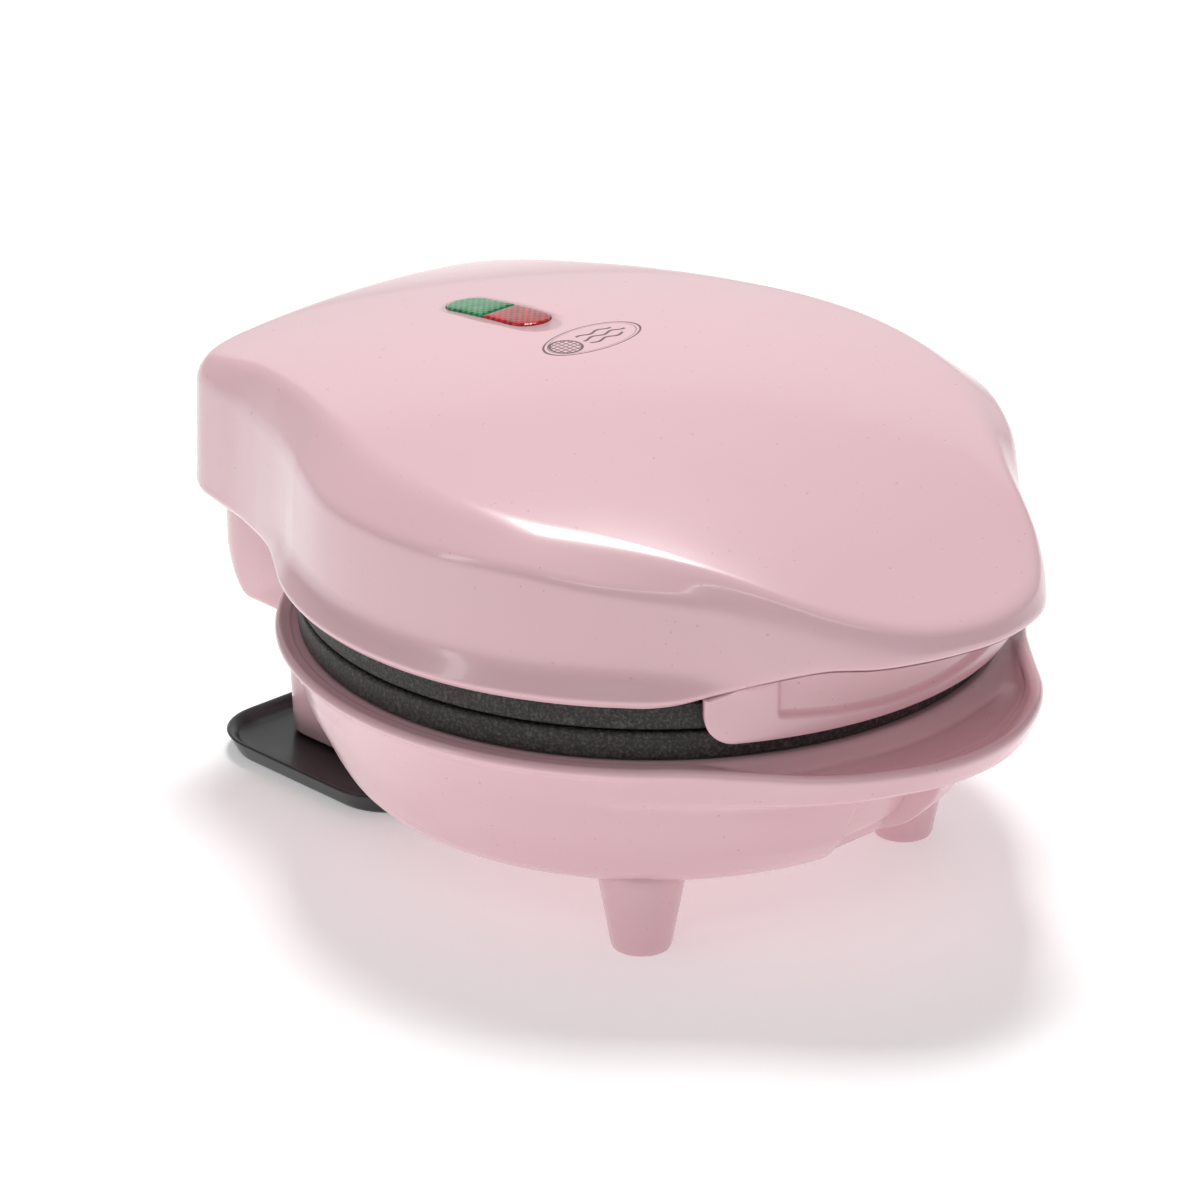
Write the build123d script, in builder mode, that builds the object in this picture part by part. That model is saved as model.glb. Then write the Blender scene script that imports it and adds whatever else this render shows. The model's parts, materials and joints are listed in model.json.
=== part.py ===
"""Round mini waffle maker: a pink two-part clamshell with black waffle plates.

Frame: +Z up, the floor is z = 0, the handle tongue points to -Y and the hinge
lies at +Y. The origin is on the floor under the plates' axis. Millimetres.
"""
import os
from math import cos, radians, sin, sqrt

from build123d import *

os.makedirs("parts", exist_ok=True)

# ---------------------------------------------------------------- driving sizes
FRONT_Y = -100.0            # tip of the lid's tongue
REAR_Y = 100.0              # back of the lid's hood
WALL = 2.5                  # moulded wall
GAP = 0.3                   # air between neighbouring pieces

PARTING_Z = 57.75           # height where the two plates meet
PLATE_GAP = 0.5             # air between the closed plates
PLATE_R = 74.8              # cast rim of each plate
CAVITY_R = 64.0             # baking well at its mouth
CAVITY_DEPTH = 8.0
FLOOR_R = 61.5              # the studded floor ends and the rim starts here
STUD_PITCH = 13.5           # waffle pockets
STUD_FOOT = 8.6
STUD_HEIGHT = 5.0
STUD_REACH = 53.0           # how far from the axis a stud may stand
PLATE_BOSS_R = 66.0         # thick disc behind the well
PLATE_POST_R = 4.0
PLATE_POST_RING = 30.0

HINGE_Y = 82.0
HINGE_Z = 54.0
PIVOT_R = 3.5
PIVOT_BORE_R = 2.2
RUNNING_CLEARANCE = 0.06
KNUCKLE_IN = 28.2           # lid knuckles lie between these two widths
KNUCKLE_OUT = 33.2
KNUCKLE_R = 6.0

LID_DRUM_R = 76.3
LID_LIP_R = 80.0
LID_LOW_Z = 64.4
CROWN_TOP = 108.2           # highest point of the lid
CROWN_Y = 18.0
DOME_R = 300.0
CROWN_SLOPE = ((-12, 106.7), (-50, 98.6), (-86, 85.4))   # side view, towards the tongue

RIM_R = 80.0                # lip of the base
RIM_TOP = 51.3
BOWL_FLOOR = 16.0
TRAY_FRONT = -96.8
BLOCK_HALF = 42.4           # hinge block of the base
BLOCK_TOP = 63.5
BLOCK_REAR = 94.8
POST_FRONT = 75.8
CHEEK_IN = 39.4
CHEEK_FRONT = 66.0
CHEEK_TOP = 60.0
COLUMN_REAR = 91.0
COLUMN_LOW = 2.6
COLUMN_SPLIT_Y = 40.0       # the column is all that lies behind this, outside the bowl

FOOT_X = 39.2
FOOT_Y = -37.9
FOOT_R = 6.3
FOOT_TOP = 21.0             # the feet run up into the bowl's wall
FOOT_TOP_R = 10.0

RING_R = 45.0               # heating element
TUBE_R = 3.2
RING_Z = 42.3
SHEET = 0.8                 # reflector sheet
PAN_Z = 31.0
CASE_SCREW_RING = 50.0
CASE_SCREW_ANGLES = (-90, 30, 150)
PLATE_SCREW_ANGLES = (0, 120, 240)

LENS_Y = 47.0
LENS_LONG = 28.0
LENS_WIDE = 10.0
APRON_ANGLE = 36.0          # half of the arc that the apron spans


def save(builder, name):
    """Label a finished piece and write it."""
    builder.part.label = name
    export_step(builder.part, f"parts/{name}.step")


def ring_points(radius, angles):
    """Points on a circle about the plates' axis."""
    return [(radius * cos(radians(a)), radius * sin(radians(a))) for a in angles]


def space_above_crown(drop):
    """Everything above the lid's crown, moved down by drop: a dome, sloping to the tongue."""
    top = CROWN_TOP - drop
    reach = 135
    edge = top - DOME_R + sqrt(DOME_R ** 2 - reach ** 2)
    half = top - DOME_R + sqrt(DOME_R ** 2 - reach ** 2 / 4)
    with BuildPart() as above:
        with BuildSketch(Plane(origin=(0, CROWN_Y, 0), x_dir=(0, 1, 0), z_dir=(1, 0, 0))):
            with BuildLine():
                ThreePointArc((0, top), (reach / 2, half), (reach, edge))
                Polyline((reach, edge), (reach, 160), (0, 160), (0, top))
            make_face()
        revolve(axis=Axis((0, CROWN_Y, 0), (0, 0, 1)))
        with BuildSketch(Plane.YZ):
            with BuildLine():
                start, middle, tip = [(y, z - drop) for y, z in CROWN_SLOPE]
                ThreePointArc(start, middle, tip)
                Polyline(tip, (-108, tip[1] - 3), (-108, 160), (start[0], 160), start)
            make_face()
        extrude(amount=82, both=True)
    return above.part


def lid_outline(inset, height):
    """Plan outline of the lid: round tongue, straight flanks, drum and a square hood."""
    with BuildSketch(Plane.XY.offset(height)) as sketch:
        with BuildLine():
            ThreePointArc((0, FRONT_Y), (14.9, -96.7), (29.2, -86.2))
            Line((29.2, -86.2), (59.6, -37))
            ThreePointArc((59.6, -37), (67.6, -5), (64, 30))
            Line((64, 30), (46.8, 86))
            ThreePointArc((46.8, 86), (42.2, 96), (33, REAR_Y))
            Line((33, REAR_Y), (0, REAR_Y))
            mirror(about=Plane.YZ)
        make_face()
        if inset:
            offset(amount=-inset)
    return sketch.sketch


# ------------------------------------------------------------------- lid shell
TONGUE_UNDER = ((-62, LID_LOW_Z), (-68, 68), (-75, 70.7), (-83, 73.7), (-101, 76))

with BuildPart() as lid_void:
    extrude(lid_outline(WALL, 60), amount=60)
    with BuildSketch(Plane.XZ):
        Polygon((0, 60), (76.6, 60), (76.6, 68), (LID_DRUM_R - WALL, 70.5), (LID_DRUM_R - WALL, 89.5),
                (64, 99), (0, 99), align=None)
    revolve(axis=Axis.Z)
    add(space_above_crown(WALL), mode=Mode.SUBTRACT)

with BuildPart() as lid_cover:
    extrude(lid_outline(0, LID_LOW_Z), amount=50)
    with BuildSketch(Plane.XZ):
        with BuildLine():
            Line((0, LID_LOW_Z), (78.7, LID_LOW_Z))
            ThreePointArc((78.7, LID_LOW_Z), (79.6, 64.9), (LID_LIP_R, 66))
            Line((LID_LIP_R, 66), (LID_LIP_R, 67.4))
            ThreePointArc((LID_LIP_R, 67.4), (77.6, 68.6), (LID_DRUM_R, 71.4))
            Polyline((LID_DRUM_R, 71.4), (LID_DRUM_R, 91.5), (67.8, 100.2), (0, 100.2), (0, LID_LOW_Z))
        make_face()
    revolve(axis=Axis.Z)
    add(lid_void.part, mode=Mode.SUBTRACT)
    # the tongue's lower edge climbs towards its tip
    with BuildSketch(Plane.YZ):
        Polygon((-110, 50), (-62, 50), *TONGUE_UNDER, (-110, 76), align=None)
    extrude(amount=90, both=True, mode=Mode.SUBTRACT)
    # the hood's rear edge is a little higher, so that it swings clear of the column
    with BuildSketch(Plane.YZ):
        Polygon((86, 60), (86, LID_LOW_Z), (90, 66), (110, 66), (110, 60), align=None)
    extrude(amount=90, both=True, mode=Mode.SUBTRACT)
    # hinge arms with their knuckles
    for side in (-1, 1):
        with BuildSketch(Plane.YZ.offset(side * KNUCKLE_IN)):
            with Locations((HINGE_Y, HINGE_Z)):
                Circle(KNUCKLE_R)
            with Locations((HINGE_Y, HINGE_Z + 25)):
                Rectangle(2 * KNUCKLE_R - 2, 50)
        extrude(amount=side * (KNUCKLE_OUT - KNUCKLE_IN))
    # bosses that take the reflector's screws and the lamp holder's screws
    with BuildSketch(Plane.XY.offset(115.5 - PAN_Z + GAP)):
        with Locations(*ring_points(CASE_SCREW_RING, CASE_SCREW_ANGLES)):
            Circle(4)
    extrude(amount=30)
    with BuildSketch(Plane.XY.offset(98.2)):
        with Locations((0, LENS_Y - 20), (0, LENS_Y + 20)):
            Circle(3)
    extrude(amount=15)
    add(space_above_crown(0), mode=Mode.SUBTRACT)
    with BuildSketch(Plane.YZ.offset(-50)):
        with Locations((HINGE_Y, HINGE_Z)):
            Circle(PIVOT_R + RUNNING_CLEARANCE)
    extrude(amount=100, mode=Mode.SUBTRACT)
    with BuildSketch(Plane.XY.offset(84)):
        with Locations(*ring_points(CASE_SCREW_RING, CASE_SCREW_ANGLES)):
            Circle(1.5)
    extrude(amount=8, mode=Mode.SUBTRACT)
    with BuildSketch(Plane.XY.offset(97)):
        with Locations((0, LENS_Y - 20), (0, LENS_Y + 20)):
            Circle(1.2)
    extrude(amount=4, mode=Mode.SUBTRACT)
    # window for the two lenses
    with BuildSketch(Plane.XY.offset(90)):
        with Locations((0, LENS_Y)):
            SlotOverall(LENS_LONG + 0.6, LENS_WIDE + 0.6, rotation=90)
    extrude(amount=30, mode=Mode.SUBTRACT)
save(lid_cover, "lid_cover")

# apron: the curved skirt under the tongue, with the finger recess and a floor for the tongue
with BuildPart() as apron_skirt:
    with BuildSketch(Plane.XZ):
        Polygon((PLATE_R + 0.8, 56.2), (77.4, 55.6), (78.6, 56.6), (78.6, 60), (77.2, 62), (77.2, 76),
                (75.4, 76), (75.4, 62), (PLATE_R + 0.8, 62), align=None)
    revolve(axis=Axis.Z)
    with BuildSketch(Plane.XY.offset(50)):
        Polygon((0, 0), (130 * sin(radians(APRON_ANGLE)), -130 * cos(radians(APRON_ANGLE))),
                (-130 * sin(radians(APRON_ANGLE)), -130 * cos(radians(APRON_ANGLE))), align=None)
    extrude(amount=40, mode=Mode.INTERSECT)

with BuildPart() as front_apron:
    extrude(lid_outline(WALL + GAP, 66), amount=14)
    with BuildSketch(Plane.YZ.offset(-90)):
        Polygon((-75, 70.9), (-83, 74.0), (-97, 76), (-97, 78.4), (-83, 76.4), (-75, 73.3), align=None)
    extrude(amount=180, mode=Mode.INTERSECT)
    add(apron_skirt.part)
    with BuildSketch(Plane.YZ):
        Polygon((-60, 120), (-60, LID_LOW_Z - GAP), (-75.6, 70.7 - GAP), (-76, 120), align=None)
    extrude(amount=90, both=True, mode=Mode.SUBTRACT)
save(front_apron, "front_apron")

# -------------------------------------------------------------- waffle plates
MIRROR_PLANE = Plane.XY.offset(PARTING_Z)
RIM_LOW = RIM_TOP + 0.05                     # underside of the lower plate's rim
PLATE_FACE = PARTING_Z - PLATE_GAP / 2
WELL_FLOOR = PLATE_FACE - CAVITY_DEPTH
PLATE_BACK = WELL_FLOOR - 4.0
STUDS = [(STUD_PITCH * i, STUD_PITCH * j) for i in range(-4, 5) for j in range(-4, 5)
         if sqrt(i * i + j * j) * STUD_PITCH < STUD_REACH]

with BuildPart() as lower_plate:
    with BuildSketch(Plane.XZ):
        Polygon((0, PLATE_BACK), (PLATE_BOSS_R, PLATE_BACK), (PLATE_BOSS_R, RIM_LOW), (PLATE_R - 0.6, RIM_LOW),
                (PLATE_R, RIM_LOW + 0.6), (PLATE_R, PLATE_FACE - 0.8), (PLATE_R - 0.8, PLATE_FACE),
                (CAVITY_R, PLATE_FACE), (CAVITY_R - 3.0, WELL_FLOOR), (0, WELL_FLOOR), align=None)
    revolve(axis=Axis.Z)
    with BuildSketch(Plane.XZ):               # overflow channel around the well
        with Locations((CAVITY_R + 4.5, PLATE_FACE)):
            Circle(1.6)
    revolve(axis=Axis.Z, mode=Mode.SUBTRACT)
    with BuildSketch(Plane.XY.offset(WELL_FLOOR)):
        with Locations(*STUDS):
            Rectangle(STUD_FOOT, STUD_FOOT)
    extrude(amount=STUD_HEIGHT, taper=16)
    with BuildSketch(Plane.XY.offset(PLATE_BACK)):
        with Locations(*ring_points(PLATE_POST_RING, PLATE_SCREW_ANGLES)):
            Circle(PLATE_POST_R)
    extrude(amount=-(PLATE_BACK - PAN_Z - SHEET))
    with BuildSketch(Plane.XY.offset(PAN_Z)):
        with Locations(*ring_points(PLATE_POST_RING, PLATE_SCREW_ANGLES)):
            Circle(1.5)
    extrude(amount=10, mode=Mode.SUBTRACT)

# each casting is kept as its studded floor and its rim
for where, turned in (("lower", False), ("upper", True)):
    for piece, mode in (("plate", Mode.INTERSECT), ("plate_rim", Mode.SUBTRACT)):
        with BuildPart() as casting:
            add(lower_plate.part)
            with BuildSketch(Plane.XY.offset(PAN_Z)):
                Circle(FLOOR_R)
            extrude(amount=40, mode=mode)
            if turned:
                mirror(about=MIRROR_PLANE, mode=Mode.REPLACE)
        save(casting, f"{where}_{piece}")

# ------------------------------------------------- heating elements, reflectors
with BuildPart() as lower_heating_element:
    with BuildLine():
        ring = CenterArc((0, 0, RING_Z), RING_R, 104, 332)
    with BuildSketch(Plane(origin=ring @ 0, z_dir=ring % 0)):
        Circle(TUBE_R)
    sweep(path=ring)
    with Locations(ring @ 0, ring @ 1):
        Sphere(TUBE_R)
    for end in (ring @ 0, ring @ 1):
        with BuildSketch(Plane.XY.offset(RING_Z)):
            with Locations((end.X, end.Y)):
                Circle(2)
        extrude(amount=-(RING_Z - 27))
save(lower_heating_element, "lower_heating_element")

with BuildPart() as upper_heating_element:
    add(lower_heating_element.part)
    mirror(about=MIRROR_PLANE, mode=Mode.REPLACE)
save(upper_heating_element, "upper_heating_element")

TERMINALS = ((ring @ 0).X, (ring @ 0).Y), ((ring @ 1).X, (ring @ 1).Y)
with BuildPart() as lower_reflector:
    with BuildSketch(Plane.XZ):
        Polygon((0, PAN_Z), (60, PAN_Z), (66.8, 44.6), (70, 44.6), (70, 44.6 + SHEET), (66.3, 44.6 + SHEET),
                (59.5, PAN_Z + SHEET), (0, PAN_Z + SHEET), align=None)
    revolve(axis=Axis.Z)
    with BuildSketch(Plane.XY.offset(PAN_Z - 1)):
        with Locations(*ring_points(PLATE_POST_RING, PLATE_SCREW_ANGLES)):
            Circle(1.6)
        with Locations(*ring_points(CASE_SCREW_RING, CASE_SCREW_ANGLES)):
            Circle(1.6)
        with Locations(*TERMINALS):
            Circle(3.2)
        Circle(2.5)
    extrude(amount=3, mode=Mode.SUBTRACT)
save(lower_reflector, "lower_reflector")

with BuildPart() as upper_reflector:
    add(lower_reflector.part)
    mirror(about=MIRROR_PLANE, mode=Mode.REPLACE)
save(upper_reflector, "upper_reflector")


def screws(points, head_z, length, shaft_r, head_r, head_h):
    """Pan head screws at the points; head_z is under the head, length may point either way."""
    with BuildPart() as group:
        with BuildSketch(Plane.XY.offset(head_z)):
            with Locations(*points):
                Circle(shaft_r)
        extrude(amount=length)
        with BuildSketch(Plane.XY.offset(head_z)):
            with Locations(*points):
                Circle(head_r)
        extrude(amount=-head_h if length > 0 else head_h)
        with BuildSketch(Plane.XY.offset(head_z - (head_h if length > 0 else -head_h))):
            with Locations(*points):
                Rectangle(head_r * 1.2, 0.6)
                Rectangle(0.6, head_r * 1.2)
        extrude(amount=head_h * 0.5 * (1 if length > 0 else -1), mode=Mode.SUBTRACT)
    return group


POST_POINTS = ring_points(PLATE_POST_RING, PLATE_SCREW_ANGLES)
CASE_POINTS = ring_points(CASE_SCREW_RING, CASE_SCREW_ANGLES)
lower_plate_screws = screws(POST_POINTS, PAN_Z, 9, 1.5, 3, 2)
save(lower_plate_screws, "lower_plate_screws")
upper_plate_screws = screws(POST_POINTS, 2 * PARTING_Z - PAN_Z, -9, 1.5, 3, 2)
save(upper_plate_screws, "upper_plate_screws")
lid_screws = screws(CASE_POINTS, 2 * PARTING_Z - PAN_Z - SHEET, 7.5, 1.5, 3, 2)
save(lid_screws, "lid_screws")
base_screws = screws(CASE_POINTS, BOWL_FLOOR + 3, 14, 1.5, 3, 2)
save(base_screws, "base_screws")
lamp_holder_screws = screws(((0, LENS_Y - 20), (0, LENS_Y + 20)), 96.0, 4.8, 1.2, 2.2, 1.4)
save(lamp_holder_screws, "lamp_holder_screws")

# ---------------------------------------------------------------- base housing
BOWL = ((0, BOWL_FLOOR), (57, BOWL_FLOOR), (62, 17.4), (65, 20), (67.6, 24), (69.9, 29), (73.3, 36),
        (75.7, 43), (77.2, 47.4), (79.4, 48.6), (RIM_R, 49.8), (79.2, RIM_TOP), (0, RIM_TOP))
BOWL_INSIDE = ((0, BOWL_FLOOR + WALL), (56, BOWL_FLOOR + WALL), (62.8, 21.4), (67.2, 29.6), (70.7, 37),
               (72.4, 43), (72.4, RIM_TOP + 1), (0, RIM_TOP + 1))
TRAY_SIDE = ((0, TRAY_FRONT), (19, -92.2), (34, -82.6), (40.8, -74.6), (46.6, -67), (53, -60))

with BuildPart() as hinge_block:
    with BuildSketch(Plane.YZ):
        with BuildLine():
            Polyline((HINGE_Y, 41.2), (50, 41.2), (50, BLOCK_TOP), (BLOCK_REAR, BLOCK_TOP), (BLOCK_REAR, HINGE_Z))
            RadiusArc((BLOCK_REAR, HINGE_Z), (HINGE_Y, 41.2), BLOCK_REAR - HINGE_Y)
        make_face()
    extrude(amount=BLOCK_HALF, both=True)
    with BuildSketch(Plane.XY.offset(30)):
        with Locations((0, BLOCK_REAR - 40)):
            RectangleRounded(2 * BLOCK_HALF, 80, 10)
    extrude(amount=60, mode=Mode.INTERSECT)
    # above the rim it is only the two hinge posts behind the plates, each with a thin cheek
    with Locations((0, POST_FRONT - 30, RIM_TOP + 20)):
        Box(2 * CHEEK_IN, 60, 40, mode=Mode.SUBTRACT)
    with Locations((0, CHEEK_FRONT - 30, RIM_TOP + 20), (0, POST_FRONT - 30, CHEEK_TOP + 20)):
        Box(3 * BLOCK_HALF, 60, 40, mode=Mode.SUBTRACT)
    with Locations((0, HINGE_Y, HINGE_Z - 1 + 20)):
        Box(2 * (KNUCKLE_OUT + 0.8), 60, 40, mode=Mode.SUBTRACT)

with BuildPart() as base_housing:
    with BuildSketch(Plane.XZ):
        Polygon(*BOWL, align=None)
    revolve(axis=Axis.Z)
    # drip tray in front of the plates
    with BuildSketch(Plane.XY.offset(43.5)):
        with BuildLine():
            edge = Spline(*TRAY_SIDE, tangents=((1, 0), (0.7, 0.6)))
            Line(edge @ 1, (0, -40))
            mirror(about=Plane.YZ)
        make_face()
    extrude(amount=RIM_TOP - 43.5)
    # column behind the bowl, narrowing a little towards the floor
    for height, half, front in ((COLUMN_LOW, 26, 50), (44, 28.6, 46)):
        with BuildSketch(Plane.XY.offset(height)):
            with Locations((0, (front + COLUMN_REAR) / 2)):
                RectangleRounded(2 * half, COLUMN_REAR - front, 7)
    loft()
    add(hinge_block.part)
    # front feet
    for side in (-1, 1):
        with BuildSketch(Plane.XY):
            with Locations((side * FOOT_X, FOOT_Y)):
                Circle(FOOT_R)
        with BuildSketch(Plane.XY.offset(FOOT_TOP)):
            with Locations((side * FOOT_X, FOOT_Y)):
                Circle(FOOT_TOP_R)
        loft()
    # hollow of the bowl
    with BuildSketch(Plane.XZ):
        Polygon(*BOWL_INSIDE, align=None)
    revolve(axis=Axis.Z, mode=Mode.SUBTRACT)
    # hollow of the column, open at the floor, with a way into the bowl
    with Locations((0, 73, 24)):
        Box(46, 31, 48, mode=Mode.SUBTRACT)
    with Locations((0, 60, 33)):
        Box(30, 30, 14, mode=Mode.SUBTRACT)
    # wall of the lifting recess under the tray, then the recess itself
    with BuildSketch(Plane.YZ):
        Polygon((-74.8, 40.5), (-66, 40.5), (-58.2, BOWL_FLOOR), (-64, BOWL_FLOOR), (-69, 28), align=None)
    extrude(amount=14.5, both=True)
    with BuildSketch(Plane.YZ):
        Polygon((-85, 38), (-68.8, 38), (-61.4, 14), (-85, 14), align=None)
    extrude(amount=12, both=True, mode=Mode.SUBTRACT)
    # dished floor of the tray, inside its raised rim
    with BuildSketch(Plane.XY.offset(47.6)):
        with BuildLine():
            edge = Spline((0, TRAY_FRONT + 3.2), (17.5, -89.4), (31.5, -80.6), (38, -73), (43.2, -65.5),
                          (46, -63), tangents=((1, 0), (0.7, 0.6)))
            Line(edge @ 1, (0, -60))
            mirror(about=Plane.YZ)
        make_face()
        Circle(77, mode=Mode.SUBTRACT)
    extrude(amount=10, mode=Mode.SUBTRACT)
    # slots for the lid's knuckles, open to the top and the rear
    for side in (-1, 1):
        with Locations((side * (KNUCKLE_IN + KNUCKLE_OUT) / 2, 74.5 + 15, HINGE_Z - 8 + 20)):
            Box(KNUCKLE_OUT - KNUCKLE_IN + 1.6, 30, 40, mode=Mode.SUBTRACT)
    with BuildSketch(Plane.YZ.offset(-42)):
        with Locations((HINGE_Y, HINGE_Z)):
            Circle(PIVOT_R)
    extrude(amount=84, mode=Mode.SUBTRACT)
    with BuildSketch(Plane.XY.offset(44)):      # way up for the lead to the lid
        with Locations((-18, HINGE_Y)):
            Circle(2.5)
    extrude(amount=14, mode=Mode.SUBTRACT)
    # lead hole of the gland in the column's rear wall
    with BuildSketch(Plane.XZ.offset(-COLUMN_REAR - 2)):
        with Locations((0, 22)):
            Circle(5.5)
    extrude(amount=6, mode=Mode.SUBTRACT)
    # bosses for the case screws, from the floor of the bowl to the reflector
    with BuildSketch(Plane.XY.offset(BOWL_FLOOR + 0.5)):
        with Locations(*CASE_POINTS):
            Circle(4.6)
    extrude(amount=PAN_Z - GAP - BOWL_FLOOR - 0.5)
    with BuildSketch(Plane.XY.offset(BOWL_FLOOR - 1)):
        with Locations(*CASE_POINTS):
            Circle(1.6)
    extrude(amount=20, mode=Mode.SUBTRACT)
    with BuildSketch(Plane.XY.offset(BOWL_FLOOR - 1)):
        with Locations(*CASE_POINTS):
            Circle(3.3)
    extrude(amount=4, mode=Mode.SUBTRACT)
    # pockets for the rubber pads under the feet
    with BuildSketch(Plane.XY):
        with Locations((FOOT_X, FOOT_Y), (-FOOT_X, FOOT_Y)):
            Circle(4.2)
    extrude(amount=1.6, mode=Mode.SUBTRACT)

# the bowl with its tray and feet is one moulding, the column with the hinge block another
with BuildPart() as base_column:
    add(base_housing.part)
    with Locations((0, COLUMN_SPLIT_Y + 50, 50)):
        Box(200, 100, 100, mode=Mode.INTERSECT)
    with BuildSketch(Plane.XZ):
        Polygon(*BOWL, align=None)
    revolve(axis=Axis.Z, mode=Mode.SUBTRACT)
save(base_column, "base_column")

with BuildPart() as bowl_housing:
    add(base_housing.part)
    add(base_column.part, mode=Mode.SUBTRACT)
save(bowl_housing, "base_housing")

# ------------------------------------------------------------------ black foot
FOOT_HALF = 41.0
with BuildPart() as cord_wrap_foot:
    with BuildSketch():
        with Locations((0, 70)):
            RectangleRounded(2 * FOOT_HALF - 3, 57, 13)
    with BuildSketch(Plane.XY.offset(5)):
        with Locations((0, 70)):
            RectangleRounded(2 * FOOT_HALF + 2, 60, 14)
    loft()
    with BuildSketch(Plane.XY.offset(COLUMN_LOW - GAP)):
        with Locations((0, 70)):
            RectangleRounded(2 * FOOT_HALF - 3, 56, 12)
    with BuildSketch(Plane.XY.offset(5.1)):
        with Locations((0, 70)):
            RectangleRounded(2 * FOOT_HALF - 1, 57, 12.5)
    loft(mode=Mode.SUBTRACT)
    with BuildSketch(Plane.XY.offset(2)):
        with Locations((-16, 74), (16, 74)):
            Circle(5)
    extrude(amount=8)
    with BuildSketch():
        with Locations((-16, 74), (16, 74)):
            Circle(1.6)
    extrude(amount=12, mode=Mode.SUBTRACT)
    with BuildSketch():
        with Locations((-16, 74), (16, 74)):
            Circle(3.3)
    extrude(amount=2.4, mode=Mode.SUBTRACT)
save(cord_wrap_foot, "cord_wrap_foot")

with BuildPart() as column_bridge:
    with Locations((0, 74, 14)):
        Box(45.4, 14, 3)
    with Locations((-16, 74, 11.4), (16, 74, 11.4)):
        Cylinder(4, 2.4)
    with BuildSketch(Plane.XY.offset(8)):
        with Locations((-16, 74), (16, 74)):
            Circle(1.6)
    extrude(amount=10, mode=Mode.SUBTRACT)
save(column_bridge, "column_bridge")

cord_foot_screws = screws(((-16, 74), (16, 74)), 2.4, 14, 1.6, 3, 1.8)
save(cord_foot_screws, "cord_foot_screws")

with BuildPart() as foot_pads:
    with BuildSketch():
        with Locations((FOOT_X, FOOT_Y), (-FOOT_X, FOOT_Y)):
            Circle(4.2)
    extrude(amount=1.6)
save(foot_pads, "foot_pads")

# -------------------------------------------------------------------- pivots
with BuildPart() as hinge_pivots:
    for side in (-1, 1):
        with BuildSketch(Plane.YZ.offset(side * KNUCKLE_IN)):
            with Locations((HINGE_Y, HINGE_Z)):
                Circle(PIVOT_R)
                Circle(PIVOT_BORE_R, mode=Mode.SUBTRACT)
        extrude(amount=side * (42 - KNUCKLE_IN))
save(hinge_pivots, "hinge_pivots")

# ------------------------------------------------------------- electrical parts
with BuildPart() as thermostat:
    with BuildSketch(Plane.XY.offset(PLATE_BACK - 0.2)):
        Circle(8)
    extrude(amount=-5)
    with BuildSketch(Plane.XY.offset(PLATE_BACK - 5.2)):
        Circle(5.5)
    extrude(amount=-3)
    for side in (-1, 1):
        with Locations((side * 8.6, 0, PLATE_BACK - 3)):
            Box(5, 4, 0.8)
save(thermostat, "thermostat")

with BuildPart() as thermal_fuse:
    with BuildSketch(Plane.YZ.offset(10)):
        with Locations((18, 27.2)):
            Circle(2.2)
    extrude(amount=13)
    with BuildSketch(Plane.YZ.offset(5)):
        with Locations((18, 27.2)):
            Circle(0.6)
    extrude(amount=23)
save(thermal_fuse, "thermal_fuse")

with BuildPart() as fuse_clip:
    with Locations((16.5, 18, 28.6)):
        Box(5, 9, 3.6)
    with BuildSketch(Plane.YZ.offset(12)):
        with Locations((18, 27.2)):
            Circle(2.2)
    extrude(amount=9, mode=Mode.SUBTRACT)
    with Locations((16.5, 18, 26.2)):
        Box(6, 4, 3, mode=Mode.SUBTRACT)
save(fuse_clip, "fuse_clip")

BLOCK_FRONT = 49.5          # front of the terminal block, behind the element's cold ends
with BuildPart() as terminal_block:
    with Locations((0, BLOCK_FRONT + 3.8, 24)):
        Box(25, 7, 7)
    with Locations(*[(x, BLOCK_FRONT + 3.8, 26) for x in (-9, 0, 9)]):
        Cylinder(2.2, 5, mode=Mode.SUBTRACT)
save(terminal_block, "terminal_block")

with BuildPart() as terminal_screws:
    with Locations(*[(x, BLOCK_FRONT + 3.8, 25) for x in (-9, 0, 9)]):
        Cylinder(2.0, 2.6)
    with Locations(*[(x, BLOCK_FRONT + 3.8, 26) for x in (-9, 0, 9)]):
        Box(3.2, 0.6, 1, mode=Mode.SUBTRACT)
save(terminal_screws, "terminal_screws")

with BuildPart() as cord_gland:
    with BuildSketch(Plane.XZ.offset(-COLUMN_REAR)):
        with Locations((0, 22)):
            Circle(8)
    extrude(amount=-2.2)
    with BuildSketch(Plane.XZ.offset(-COLUMN_REAR)):
        with Locations((0, 22)):
            Circle(5.4)
    extrude(amount=4.6)
    with BuildSketch(Plane.XZ.offset(-COLUMN_REAR - 3)):
        with Locations((0, 22)):
            Circle(3.4)
    extrude(amount=10, mode=Mode.SUBTRACT)
save(cord_gland, "cord_gland")

with BuildPart() as cord_clamp:
    with Locations((0, 80, 22)):
        Box(26, 5, 12)
    with BuildSketch(Plane.XZ.offset(-83)):
        with Locations((0, 22)):
            Circle(3.4)
    extrude(amount=6, mode=Mode.SUBTRACT)
save(cord_clamp, "cord_clamp")


def wire(name, route, radii, radius):
    """A round wire along straight runs joined by tangent arcs."""
    with BuildPart() as lead:
        with BuildLine():
            path = FilletPolyline(*route, radius=radii)
        with BuildSketch(Plane(origin=path @ 0, z_dir=path % 0)):
            Circle(radius)
        sweep(path=path)
    save(lead, name)


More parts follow.
